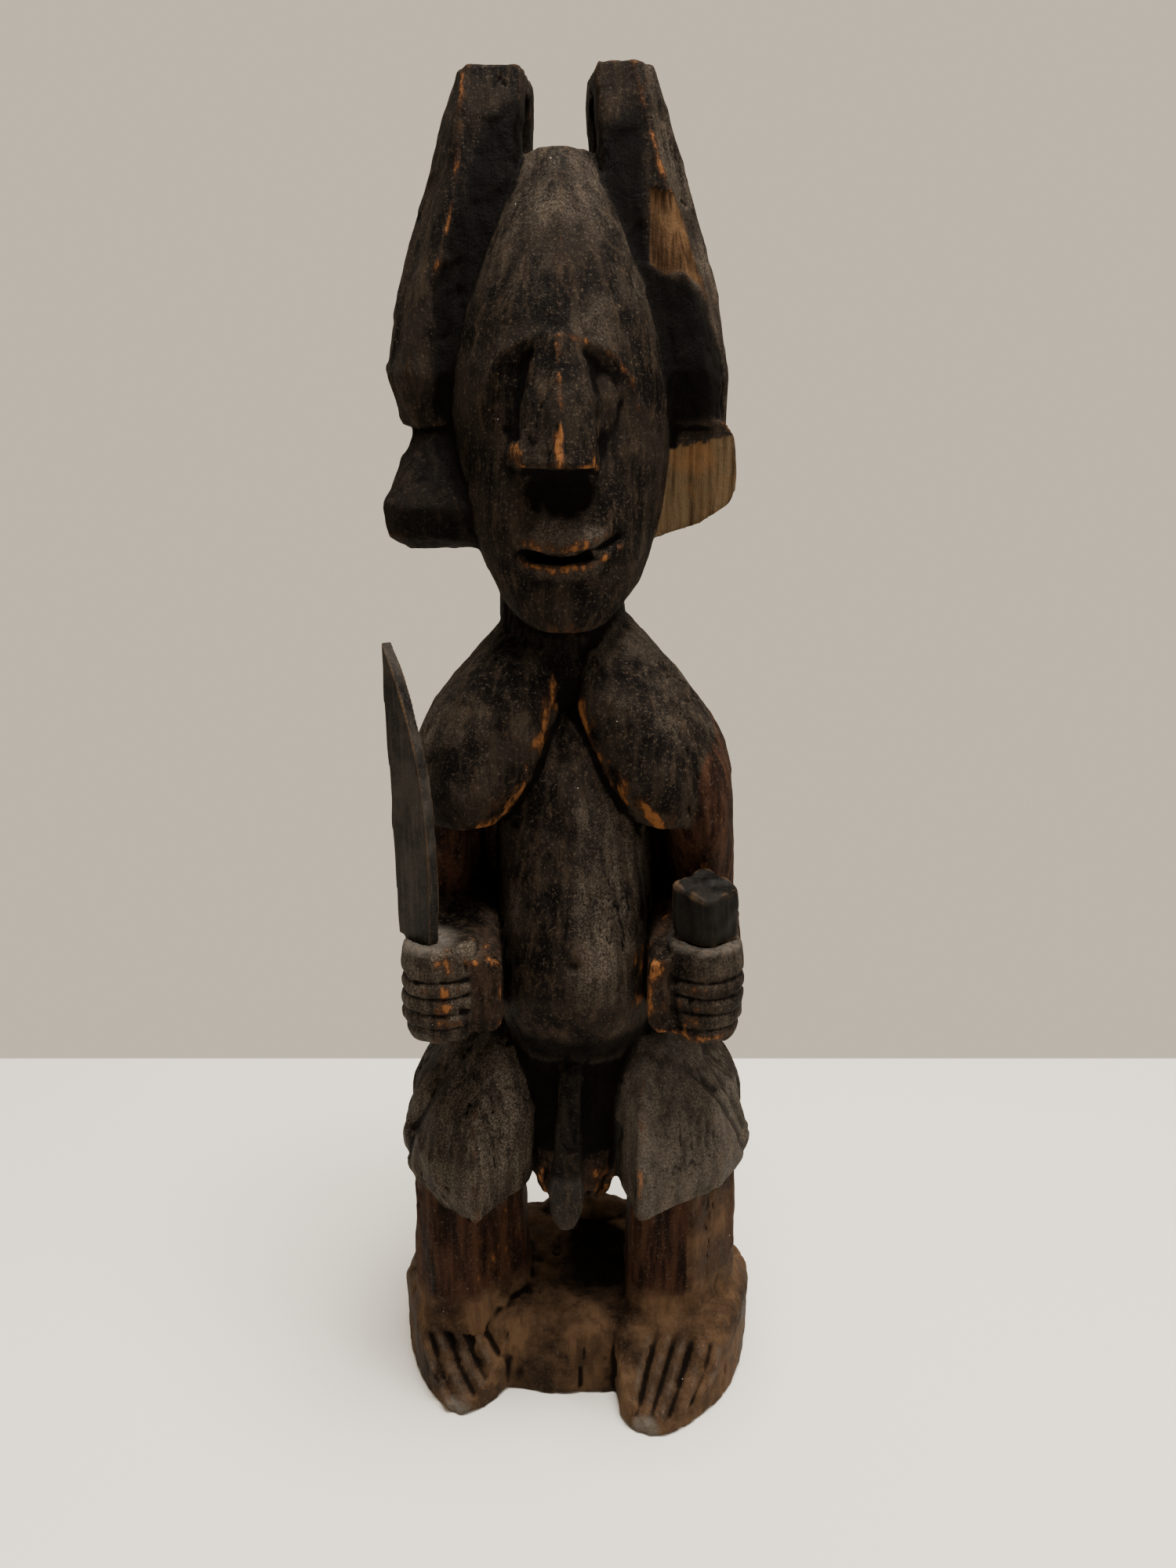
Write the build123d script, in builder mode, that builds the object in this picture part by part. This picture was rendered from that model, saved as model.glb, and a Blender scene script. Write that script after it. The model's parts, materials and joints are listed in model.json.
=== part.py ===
"""A carved wooden figure: a man standing with bent knees on an oval base, a machete in one fist and a
broken staff in the other, with a tall split crest and a side lug at each ear.

Millimetres. +Z is up, the figure faces -Y, and the origin is in the flat underside, between the legs.
Right and left are the figure's own: its right hand, with the machete, is on -X.
"""

import os

from build123d import *

os.makedirs("parts", exist_ok=True)

RIGHT, LEFT = -1, 1

# Driving dimensions
HEIGHT = 450  # floor to the top of the crest
BASE_HALF_WIDTH = 68
BASE_HALF_DEPTH = 41
BASE_THICKNESS = 30
BASE_Y = 5  # the middle of the oval base
LEG_X = 40  # from the middle to each leg
ANKLE_HEIGHT = 31
INSTEP_SLOPE = 1.2  # rise over run from the toes to the ankle
TOE_HEIGHT = 5
CHEST_X = -2.4  # the shoulders lean slightly to the figure's right
RIGHT_FIST_X = -44
LEFT_FIST_X = 42.5
FIST_Y = -41
FIST_RADIUS = 12.5
FIST_LOW = 151
FIST_HIGH = 185
FINGER_PITCH = 5.6
GROOVE_WIDTH = 1.4  # of the grooves between fingers and between toes
GROOVE_DEPTH = 0.8
HEAD_X = -4.5  # the head stands slightly to the figure's right
CHIN_Z = 283
CROWN_Z = 425  # flat floor between the two crest lobes
EYE_OFFSET = 14
CREST_HALF_GAP = 11.5  # at the front; the lobes come closer together behind
CREST_ROOT_Z = 346
MORTISE_DEPTH = 10  # the slot in each lobe's inner face
MORTISE_WIDTH = 8
MORTISE_HEIGHT = 16

BLADE_WIDTH = 16
BLADE_THICKNESS = 4
BLADE_LENGTH = 96
BLADE_LEAN = 3  # how far the tip stands out past the foot of the blade
BLADE_TURN = -45  # degrees about +Z, so that the flat faces forwards and outwards
TANG_WIDTH = 10
TANG_DEPTH = 20
STAFF_SIDE = 16  # the staff is roughly square, with a corner to the front
STAFF_FLARE = 1.4  # how much wider it is at its broken end
STAFF_HEIGHT = 18  # what is left of the staff above the fist
PEG_RADIUS = 6.5
PEG_DEPTH = 18


def ovals(sections):
    """A body lofted through level ovals: height, middle x, middle y, half width, half depth."""
    with BuildPart() as body:
        for height, x, y, half_width, half_depth in sections:
            with BuildSketch(Plane.XY.offset(height)):
                with Locations((x, y)):
                    Ellipse(half_width, half_depth)
        loft()
    return body.part


def clear_of(*neighbours):
    """Takes the neighbours' wood out of the piece being built, so that the two meet face to face."""
    for neighbour in neighbours:
        add(neighbour.part, mode=Mode.SUBTRACT)


def finish(piece, name):
    """Keeps the piece's main solid, labels it and writes its STEP file."""
    body = piece.part.solids().sort_by(SortBy.VOLUME)[-1]
    body.label = name
    export_step(body, f"parts/{name}.step")


# ---------------------------------------------------------------- things held in the fists
# The blade's own plane: x across the blade towards the figure, y up its length.
blade_flat = Plane(Location((RIGHT_FIST_X - 6.7, FIST_Y - 1, FIST_HIGH), (90, BLADE_TURN, 0)))

with BuildPart() as machete_blade:
    half = BLADE_WIDTH / 2
    with BuildSketch(blade_flat):
        with BuildLine():
            back_edge = Polyline((half, 0), (-half, 0), (-half - BLADE_LEAN, BLADE_LENGTH))
            Spline(
                back_edge @ 1,
                (-0.15 * half, 0.81 * BLADE_LENGTH),
                (0.8 * half, 0.56 * BLADE_LENGTH),
                (1.1 * half, 0.36 * BLADE_LENGTH),
                (half, 0),
            )
        make_face()
        with Locations((0, -TANG_DEPTH / 2)):
            Rectangle(TANG_WIDTH, TANG_DEPTH)
    extrude(amount=BLADE_THICKNESS / 2, both=True)

with BuildPart() as staff_stub:
    for height, side in ((FIST_HIGH, STAFF_SIDE), (FIST_HIGH + STAFF_HEIGHT + 5, STAFF_SIDE + STAFF_FLARE)):
        with BuildSketch(Plane.XY.offset(height)):
            with Locations(Location((LEFT_FIST_X, FIST_Y, 0), (0, 0, 45))):
                RectangleRounded(side, side, 3.5)
    loft()
    broken_end = Plane(origin=(LEFT_FIST_X, FIST_Y, FIST_HIGH + STAFF_HEIGHT), z_dir=(0.05, -0.2, 1))
    split(bisect_by=broken_end, keep=Keep.BOTTOM)
    chamfer(staff_stub.faces().sort_by(Axis.Z)[-1].edges(), 1)
    with Locations((LEFT_FIST_X, FIST_Y, FIST_HIGH)):
        Cylinder(PEG_RADIUS, PEG_DEPTH, align=(Align.CENTER, Align.CENTER, Align.MAX))


# ---------------------------------------------------------------- fists
def fist_form(x):
    """An upright rounded fist, ringed by the four grooves between its fingers."""
    with BuildPart() as fist:
        add(
            ovals(
                [
                    (FIST_LOW, x, FIST_Y, 9, 9),
                    (FIST_LOW + 5, x, FIST_Y, FIST_RADIUS - 0.7, FIST_RADIUS - 0.7),
                    (FIST_LOW + 17, x, FIST_Y, FIST_RADIUS + 0.5, FIST_RADIUS + 0.5),
                    (FIST_HIGH - 5, x, FIST_Y, FIST_RADIUS, FIST_RADIUS),
                    (FIST_HIGH, x, FIST_Y, FIST_RADIUS - 1, FIST_RADIUS - 1),
                ]
            )
        )
        for finger in range(4):
            with BuildSketch(Plane.XY.offset(FIST_LOW + 5.5 + finger * FINGER_PITCH)):
                with Locations((x, FIST_Y)):
                    Circle(FIST_RADIUS + 3)
                    Circle(FIST_RADIUS - GROOVE_DEPTH, mode=Mode.SUBTRACT)
            extrude(amount=GROOVE_WIDTH, mode=Mode.SUBTRACT)
    return fist.part


with BuildPart() as right_fist:
    add(fist_form(RIGHT_FIST_X))
    clear_of(machete_blade)

with BuildPart() as left_fist:
    add(fist_form(LEFT_FIST_X))
    clear_of(staff_stub)

# ---------------------------------------------------------------- face
NOSE_SECTIONS = (  # height, half width at the root, half width and y of the side edges, y of the ridge
    (332, 13.2, 11.2, -42, -48.5),
    (350, 12, 10, -38.5, -44.5),
    (369, 8.5, 6, -33.5, -37),
)
FACE_BACK = -30  # features run back to here, inside the head

with BuildPart() as nose:
    for height, half_root, half_edge, edge_y, ridge_y in NOSE_SECTIONS:
        with BuildSketch(Plane.XY.offset(height)):
            with BuildLine():
                Polyline(
                    (HEAD_X - half_root, FACE_BACK),
                    (HEAD_X - half_edge, edge_y),
                    (HEAD_X, ridge_y),
                    (HEAD_X + half_edge, edge_y),
                    (HEAD_X + half_root, FACE_BACK),
                    close=True,
                )
            make_face()
    loft(ruled=True)

with BuildPart() as upper_lip:
    add(
        ovals(
            [
                (306.5, HEAD_X + 1, -29, 15.5, 10.5),
                (310, HEAD_X + 1, -29, 16.5, 11.8),
                (317, HEAD_X + 1, -29, 12, 8.5),
            ]
        )
    )

LOWER_LIP_X = HEAD_X + 1
LOWER_LIP_SECTIONS = [
    (298, LOWER_LIP_X, -29, 10, 6),
    (302, LOWER_LIP_X, -29, 15, 10),
    (304.5, LOWER_LIP_X, -29, 16, 9.8),
]

with BuildPart() as lower_lip:
    add(ovals(LOWER_LIP_SECTIONS))


def eye_form(side):
    """A tall almond-shaped eye, lying in its socket."""
    x = HEAD_X + side * EYE_OFFSET
    return ovals([(344, x, -31, 1.5, 1.4), (351, x, -31, 3.8, 2.6), (358, x, -31, 1.5, 1.4)])


with BuildPart() as right_eye:
    add(eye_form(RIGHT))
    clear_of(nose)

with BuildPart() as left_eye:
    add(eye_form(LEFT))
    clear_of(nose)

with BuildPart() as head:
    add(
        ovals(
            [
                (CHIN_Z, HEAD_X + 1.5, -24, 9, 11),
                (290, HEAD_X + 1.5, -19, 18, 17.5),
                (300, HEAD_X + 1.5, -12, 24.5, 25.5),
                (312, HEAD_X + 1, -6, 29.5, 32),
                (330, HEAD_X + 0.5, -1, 34, 35),
                (350, HEAD_X, 1, 35.5, 37),
                (370, HEAD_X, 2, 33.5, 36),
                (388, HEAD_X, 3, 28, 32),
                (402, HEAD_X, 4, 22.5, 28),
                (415, HEAD_X, 5, 16.5, 22),
                (CROWN_Z, HEAD_X, 6, 12, 17),
            ]
        )
    )
    for side in (RIGHT, LEFT):  # eye sockets
        with BuildSketch(Plane.YZ.offset(HEAD_X + side * (EYE_OFFSET + 1))):
            with Locations((-38, 354)):
                Ellipse(6, 13)
        extrude(amount=8, both=True, mode=Mode.SUBTRACT)
    with BuildSketch(Plane.XY.offset(304.5)):  # parted lips
        with Locations((HEAD_X + 1, -38)):
            Rectangle(28, 6)
    extrude(amount=2, mode=Mode.SUBTRACT)
    clear_of(nose, upper_lip, lower_lip, right_eye, left_eye)

# ---------------------------------------------------------------- crest and ear lugs
# Height as a share of the lobe; inner and outer x from the head's middle; bevel; front and back y
LOBE_SECTIONS = (
    (0, 24, 49, 6, -8, 22),
    (0.15, 22, 53.5, 8, -12, 30),
    (0.4, 18, 49.8, 10, -10, 30),
    (0.65, 14, 41.5, 9.5, -8, 26),
    (0.9, CREST_HALF_GAP, 32.5, 5.5, -5, 20),
    (1, CREST_HALF_GAP, 28, 3, -3, 18),
)
INNER_TOE_IN = 3.5  # how much closer together the lobes' inner faces are at the back


def crest_form(side, top, spread, foot_spread):
    """A tall tapering slab with bevelled outer edges and a mortise in its inner face."""
    with BuildPart() as lobe:
        for share, inner, outer, bevel, front, back in LOBE_SECTIONS:
            edge = outer + (spread if share else foot_spread)
            with BuildSketch(Plane.XY.offset(CREST_ROOT_Z + share * (top - CREST_ROOT_Z))):
                with BuildLine():
                    Polyline(
                        (HEAD_X + side * inner, front),
                        (HEAD_X + side * (edge - bevel), front),
                        (HEAD_X + side * edge, front + 1.6 * bevel),
                        (HEAD_X + side * edge, back - 0.8 * bevel),
                        (HEAD_X + side * (edge - bevel), back),
                        (HEAD_X + side * (inner - INNER_TOE_IN), back),
                        close=True,
                    )
                make_face()
        loft(ruled=True)
        with BuildSketch(Plane.XY.offset(CROWN_Z + 2)):
            with Locations((HEAD_X + side * CREST_HALF_GAP, 8)):
                Rectangle(2 * MORTISE_DEPTH, MORTISE_WIDTH)
        extrude(amount=MORTISE_HEIGHT, mode=Mode.SUBTRACT)
    return lobe.part


with BuildPart() as right_crest_lobe:
    add(crest_form(RIGHT, HEIGHT - 1, 2.5, 2.5))
    clear_of(head)

with BuildPart() as left_crest_lobe:
    add(crest_form(LEFT, HEIGHT, 0.5, 5))
    clear_of(head)

LUG_SECTIONS = (  # height, outer x, front y, back y
    (308, -55, -14, 12),
    (311, -59.5, -19, 15),
    (321, -61, -20, 16),
    (327, -58.5, -16, 17),
    (CREST_ROOT_Z, -52, -6, 20),
)
LUG_ROOT_X = -24

with BuildPart() as right_ear_lug:  # swells downwards from the foot of the crest
    for height, outer, front, back in LUG_SECTIONS:
        with BuildSketch(Plane.XY.offset(height)):
            with Locations(((outer + LUG_ROOT_X) / 2, (front + back) / 2)):
                corners = Rectangle(LUG_ROOT_X - outer, back - front)
            chamfer(corners.vertices(), 4.5)
    loft(ruled=True)
    clear_of(head, right_crest_lobe)

LUG_OUTLINE = (
    (20, 310),
    (27, 310.8),
    (40.5, 315),
    (49, 320.5),
    (52, 325.5),
    (52.5, 331),
    (51.3, 342),
    (48, 347),
    (20, 350),
)

with BuildPart() as left_ear_lug:  # its front half has split away along the grain and left a flat face
    with BuildSketch(Plane.XZ.offset(6)):
        with BuildLine():
            Polyline(*LUG_OUTLINE, close=True)
        make_face()
    extrude(amount=-22)
    clear_of(head, left_crest_lobe)

# ---------------------------------------------------------------- neck, chest, belly and back
with BuildPart() as neck:
    add(
        ovals(
            [
                (256, CHEST_X, -2, 17, 17),
                (267, CHEST_X, -3, 20, 21),
                (277, HEAD_X + 1, -1.5, 21.2, 21.5),
                (290, HEAD_X, 2, 21, 20.5),
                (306, HEAD_X, 4, 22, 22),
            ]
        )
    )
    clear_of(head)


def chest_form(side):
    """The rounded shoulder and breast, which stands proud of the belly and ends in a free lower edge."""
    return ovals(
        [
            (219, CHEST_X + side * 34, -22, 10, 12),
            (223, CHEST_X + side * 33, -18, 15, 18),
            (233, CHEST_X + side * 30, -14, 21, 23.5),
            (247, CHEST_X + side * 25.5, -10, 24.5, 26),
            (262, CHEST_X + side * 19.5, -7, 22, 25),
            (274, CHEST_X + side * 13, -3, 18, 21),
            (285, CHEST_X + side * 8, 1, 12, 15),
        ]
    )


with BuildPart() as right_chest_lobe:
    add(chest_form(RIGHT))
    split(bisect_by=Plane.YZ, keep=Keep.BOTTOM)
    clear_of(neck)

with BuildPart() as left_chest_lobe:
    add(chest_form(LEFT))
    split(bisect_by=Plane.YZ, keep=Keep.TOP)
    clear_of(neck)

with BuildPart() as belly:
    add(
        ovals(
            [
                (134, 0, -8, 24, 24),
                (150, 0, -12, 27, 28),
                (175, 0, -13, 27.5, 32),
                (200, 0, -11, 26.5, 28),
                (225, 0, -9, 26, 24),
                (250, 0, -6, 22, 20),
                (268, -1, -2, 14, 14),
            ]
        )
    )
    clear_of(right_chest_lobe, left_chest_lobe, neck)

with BuildPart() as back:
    add(
        ovals(
            [
                (132, 0, 4, 29, 26),
                (160, 0, 5, 32, 24),
                (190, 0, 5, 35, 23),
                (220, 0, 4, 38, 23),
                (250, -1, 3, 36, 22),
                (276, -3, 2, 25, 19),
            ]
        )
    )
    clear_of(belly, right_chest_lobe, left_chest_lobe, neck)


# ---------------------------------------------------------------- arms
def arm_form(side, reach):
    """The upper arm, hanging from the shoulder to the elbow; reach is how far forwards its front swells."""
    half = reach / 2
    return ovals(
        [
            (160, side * 45, 6, 8, 11),
            (172, side * 45.5, 4, 10.5, 15),
            (191, side * 45, 2 - 0.6 * half, 11.3, 17 + 0.6 * half),
            (211, CHEST_X / 2 + side * 44, -1 - half, 12, 19 + half),
            (230, CHEST_X / 2 + side * 42, -3 - half, 12.3, 20 + half),
            (246, CHEST_X / 2 + side * 38, -3 - 0.5 * half, 12.8, 19 + 0.5 * half),
            (257, CHEST_X + side * 33, -2, 11.5, 16),
        ]
    )


FOREARM_SECTIONS = (  # y, middle x, width, underside, top
    (12, 44, 18, 156, 196),
    (-4, 43, 25, 153, 194),
    (-25, 41, 30, 152, 187),
    (-49, 37.5, 28, 154.5, 180),
)


def forearm_form(side):
    """The forearm, reaching forwards along the belly from the elbow to the fist, flat on top."""
    with BuildPart() as forearm:
        for y, x, width, low, high in FOREARM_SECTIONS:
            with BuildSketch(Plane.XZ.offset(-y)):
                with Locations((side * x, (low + high) / 2)):
                    RectangleRounded(width, high - low, 5)
        loft()
    return forearm.part


with BuildPart() as right_upper_arm:
    add(arm_form(RIGHT, 2))
    clear_of(back, belly, right_chest_lobe)

with BuildPart() as left_upper_arm:
    add(arm_form(LEFT, 11))
    clear_of(back, belly, left_chest_lobe)

with BuildPart() as right_forearm:
    add(forearm_form(RIGHT))
    clear_of(right_fist, machete_blade, right_upper_arm, back, belly)

with BuildPart() as left_forearm:
    add(forearm_form(LEFT))
    clear_of(left_fist, staff_stub, left_upper_arm, back, belly)

# ---------------------------------------------------------------- loins
PENDANT_SECTIONS = (  # height, x, y, width, depth
    (77.5, -3.2, -43, 5, 6),
    (85, -3.3, -43.5, 10.5, 9.5),
    (95.5, -3.4, -42.5, 12, 11),
    (98.5, -3, -40.5, 9.5, 10),
    (133, -2, -30, 8, 9),
)

with BuildPart() as loin_pendant:
    for height, x, y, width, depth in PENDANT_SECTIONS:
        with BuildSketch(Plane.XY.offset(height)):
            with Locations((x, y)):
                Rectangle(width, depth)
    loft(ruled=True)
    clear_of(belly)


# Height, then x from the middle and y of the outer back, outer side, outer front and inner front corners
THIGH_LEVELS = (
    (76, (54, -4), (56, -21), (46, -31), (19, -26)),
    (85, (60, 3), (62.5, -18), (51, -33), (17, -30)),
    (96, (63.5, 8), (64.5, -14), (52, -34), (16, -32)),
    (114, (58.5, 11), (58.5, -11), (49, -31), (15, -30)),
    (128, (47, 12), (47, -8), (40, -24), (16, -24)),
    (138, (36, 10), (36, -4), (31, -16), (18, -18)),
)
RIGHT_RIDGE = ((34, -43), (34.5, -45), (35, -46), (34, -41), (31, -31), (27, -21))
LEFT_RIDGE = ((22.5, -42), (22, -45), (22, -46), (22, -42), (23, -32), (24, -21))
THIGH_INNER_BACK = (10, 8)
KNEE_Z = 78.5


def thigh_form(side, ridge, rim_rise):
    """The thigh and knee: a dome drawn forwards into a ridge, its lower rim overhanging the shin.

    The rim is lowest at the foot of the ridge; rim_rise is how steeply it climbs from there, outwards where
    it is positive and inwards where it is negative.
    """
    with BuildPart() as thigh:
        for (height, *corners), crest in zip(THIGH_LEVELS, ridge):
            outline = [*corners[:3], crest, corners[3], THIGH_INNER_BACK]
            with BuildSketch(Plane.XY.offset(height)):
                with BuildLine():
                    Polyline(*[(side * x, y) for x, y in outline], close=True)
                make_face()
        loft(ruled=True)
        rim = Plane(origin=(side * ridge[0][0], 0, KNEE_Z), z_dir=(-side * rim_rise, 0, 1))
        split(bisect_by=rim, keep=Keep.TOP)
    return thigh.part


def buttock_form(side):
    """The buttock and hip, behind the thigh."""
    return ovals(
        [
            (68, side * (LEG_X - 5), 22, 16, 14),
            (84, side * (LEG_X - 2), 21, 25, 22),
            (104, side * (LEG_X - 4), 19, 27, 26),
            (122, side * (LEG_X - 10), 17, 22, 24),
            (137, side * (LEG_X - 17), 15, 13.5, 17),
        ]
    )


with BuildPart() as right_thigh:
    add(thigh_form(RIGHT, RIGHT_RIDGE, -0.45))
    clear_of(loin_pendant, belly, back)

with BuildPart() as left_thigh:
    add(thigh_form(LEFT, LEFT_RIDGE, 0.24))
    clear_of(loin_pendant, belly, back)

with BuildPart() as right_buttock:
    add(buttock_form(RIGHT))
    split(bisect_by=Plane.YZ, keep=Keep.BOTTOM)
    clear_of(right_thigh, back)

with BuildPart() as left_buttock:
    add(buttock_form(LEFT))
    split(bisect_by=Plane.YZ, keep=Keep.TOP)
    clear_of(left_thigh, back)

with BuildPart() as pelvis:
    add(ovals([(74, 0, -3, 14, 17), (81, 0, -2, 18, 24), (110, 0, -2, 26, 30), (138, 0, -3, 27, 28)]))
    clear_of(loin_pendant, right_thigh, left_thigh, right_buttock, left_buttock, belly, back)


# ---------------------------------------------------------------- legs, feet and base
def foot_form(side, outline, toe_x, toe_y):
    """A wedge-shaped foot on the floor, sloping from ankle to toes, with the grooves between its toes."""
    with BuildPart() as foot:
        with BuildSketch():
            with BuildLine():
                front = Spline(*outline)
                Polyline(front @ 1, (side * 20, 4), (side * 58, 12), front @ 0)
            make_face()
        extrude(amount=ANKLE_HEIGHT)
        chamfer(foot.faces().sort_by(Axis.Z)[-1].edges(), 5)
        instep = Plane(origin=(toe_x, toe_y, TOE_HEIGHT), x_dir=(1, 0, 0), z_dir=(0, -INSTEP_SLOPE, 1))
        split(bisect_by=instep, keep=Keep.BOTTOM)
        for toe in (-1.5, -0.5, 0.5, 1.5):
            with BuildSketch(instep):
                with BuildLine():
                    Line((5 * toe, 3), (side * LEG_X - toe_x + 7 * toe, 34))
                trace(line_width=GROOVE_WIDTH)
            extrude(amount=-GROOVE_DEPTH, mode=Mode.SUBTRACT)
    return foot.part


RIGHT_FOOT_OUTLINE = ((-68, 2), (-61.5, -22), (-51.5, -39), (-42, -46), (-31, -40), (-23, -27), (-20, -8))
LEFT_FOOT_OUTLINE = (
    (68, 2),
    (64.5, -14),
    (56.5, -34),
    (43, -48.5),
    (28, -55.5),
    (19, -51),
    (15, -35),
    (18, -8),
)

with BuildPart() as right_foot:
    add(foot_form(RIGHT, RIGHT_FOOT_OUTLINE, -41, -46))

with BuildPart() as left_foot:
    add(foot_form(LEFT, LEFT_FOOT_OUTLINE, 26, -55))


SHIN_LEVELS = ((16, 1.6), (40, 0.4), (98, -0.4))  # height, and how far the outline is let out there


def shin_form(outline):
    """The lower leg, a stout faceted column from the foot up into the thigh."""
    with BuildPart() as shin:
        for height, letting_out in SHIN_LEVELS:
            with BuildSketch(Plane.XY.offset(height)) as section:
                with BuildLine():
                    Polyline(*outline, close=True)
                make_face()
                offset(amount=letting_out, kind=Kind.INTERSECTION)
                fillet(section.vertices(), 3)
        loft()
    return shin.part


# One front corner of each shin is cut away into a broad facet: the inner one of the right shin and
# the outer one of the left shin.
RIGHT_SHIN_OUTLINE = ((-60, 10), (-60, -20), (-52, -29.5), (-36, -31), (-19.5, -13), (-19.5, 10))
LEFT_SHIN_OUTLINE = ((19.5, 10), (19.5, -25), (25, -30.5), (43, -31), (60, -11), (60.5, 10))

with BuildPart() as right_shin:
    add(shin_form(RIGHT_SHIN_OUTLINE))
    clear_of(right_foot, right_thigh, right_buttock, pelvis)

with BuildPart() as left_shin:
    add(shin_form(LEFT_SHIN_OUTLINE))
    clear_of(left_foot, left_thigh, left_buttock, pelvis)

with BuildPart() as base:
    with BuildSketch():
        with Locations((0, BASE_Y)):
            Ellipse(BASE_HALF_WIDTH, BASE_HALF_DEPTH)
    extrude(amount=BASE_THICKNESS)
    fillet(base.faces().sort_by(Axis.Z)[-1].edges(), 9)
    clear_of(right_foot, left_foot, right_shin, left_shin)

# ---------------------------------------------------------------- files
pieces = {
    "base": base,
    "right_foot": right_foot,
    "left_foot": left_foot,
    "right_shin": right_shin,
    "left_shin": left_shin,
    "right_thigh": right_thigh,
    "left_thigh": left_thigh,
    "right_buttock": right_buttock,
    "left_buttock": left_buttock,
    "pelvis": pelvis,
    "loin_pendant": loin_pendant,
    "belly": belly,
    "back": back,
    "right_chest_lobe": right_chest_lobe,
    "left_chest_lobe": left_chest_lobe,
    "right_upper_arm": right_upper_arm,
    "left_upper_arm": left_upper_arm,
    "right_forearm": right_forearm,
    "left_forearm": left_forearm,
    "right_fist": right_fist,
    "left_fist": left_fist,
    "machete_blade": machete_blade,
    "staff_stub": staff_stub,
    "neck": neck,
    "head": head,
    "nose": nose,
    "upper_lip": upper_lip,
    "lower_lip": lower_lip,
    "right_eye": right_eye,
    "left_eye": left_eye,
    "right_crest_lobe": right_crest_lobe,
    "left_crest_lobe": left_crest_lobe,
    "right_ear_lug": right_ear_lug,
    "left_ear_lug": left_ear_lug,
}
for name, piece in pieces.items():
    finish(piece, name)
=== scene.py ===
import json
import math

import bmesh
import bpy
import numpy as np
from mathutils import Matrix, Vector, kdtree, noise
from mathutils.bvhtree import BVHTree


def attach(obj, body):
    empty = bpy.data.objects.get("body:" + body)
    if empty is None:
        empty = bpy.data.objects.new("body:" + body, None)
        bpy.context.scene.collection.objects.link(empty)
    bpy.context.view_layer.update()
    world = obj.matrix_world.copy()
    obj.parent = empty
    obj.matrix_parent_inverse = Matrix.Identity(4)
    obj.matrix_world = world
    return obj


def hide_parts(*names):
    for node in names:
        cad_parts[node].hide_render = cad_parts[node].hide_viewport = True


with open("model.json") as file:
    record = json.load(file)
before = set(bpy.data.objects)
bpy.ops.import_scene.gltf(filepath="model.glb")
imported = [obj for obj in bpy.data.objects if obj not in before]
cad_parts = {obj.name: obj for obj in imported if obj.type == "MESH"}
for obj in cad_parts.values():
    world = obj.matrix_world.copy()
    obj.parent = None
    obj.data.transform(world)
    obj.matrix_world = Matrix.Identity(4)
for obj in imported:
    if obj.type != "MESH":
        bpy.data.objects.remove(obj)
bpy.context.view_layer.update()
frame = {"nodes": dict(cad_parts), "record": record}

# Lengths below are in millimetres and turned to metres where they meet Blender.
MM = 0.001
HELD = ("machete_blade", "staff_stub")  # let into the fists; all else is one block of wood
SKIN_PITCH = 0.8
HELD_PITCH = 0.45
ROUGHNESS_OF = {"machete_blade": 0.3, "staff_stub": 1.1}
FRONT = (0, 2)  # the two coordinates seen from the front, x and z

# ------------------------------------------------------------------ making and reading meshes


def merged_copy(nodes, name):
    """One new object holding clean copies of some CAD nodes."""
    bm = bmesh.new()
    for node in nodes:
        bm.from_mesh(frame["nodes"][node].data)
    bmesh.ops.remove_doubles(bm, verts=bm.verts, dist=0.01 * MM)
    mesh = bpy.data.meshes.new(name)
    bm.to_mesh(mesh)
    bm.free()
    piece = bpy.data.objects.new(name, mesh)
    bpy.context.scene.collection.objects.link(piece)
    return piece


def fuse(piece, pitch):
    """Turns a piece into one even skin of small squares and drops anything sealed inside it."""
    remesh = piece.modifiers.new("skin", "REMESH")
    remesh.mode = "VOXEL"
    remesh.voxel_size = pitch * MM
    depsgraph = bpy.context.evaluated_depsgraph_get()
    mesh = bpy.data.meshes.new_from_object(piece.evaluated_get(depsgraph))
    piece.modifiers.clear()
    piece.data = mesh
    bm = bmesh.new()
    bm.from_mesh(mesh)
    bm.verts.ensure_lookup_table()
    start = max(bm.verts, key=lambda v: v.co.z)
    outer = {start}
    edge_of_search = [start]
    while edge_of_search:
        vert = edge_of_search.pop()
        for edge in vert.link_edges:
            other = edge.other_vert(vert)
            if other not in outer:
                outer.add(other)
                edge_of_search.append(other)
    bmesh.ops.delete(bm, geom=[v for v in bm.verts if v not in outer], context="VERTS")
    bm.to_mesh(mesh)
    bm.free()


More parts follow.
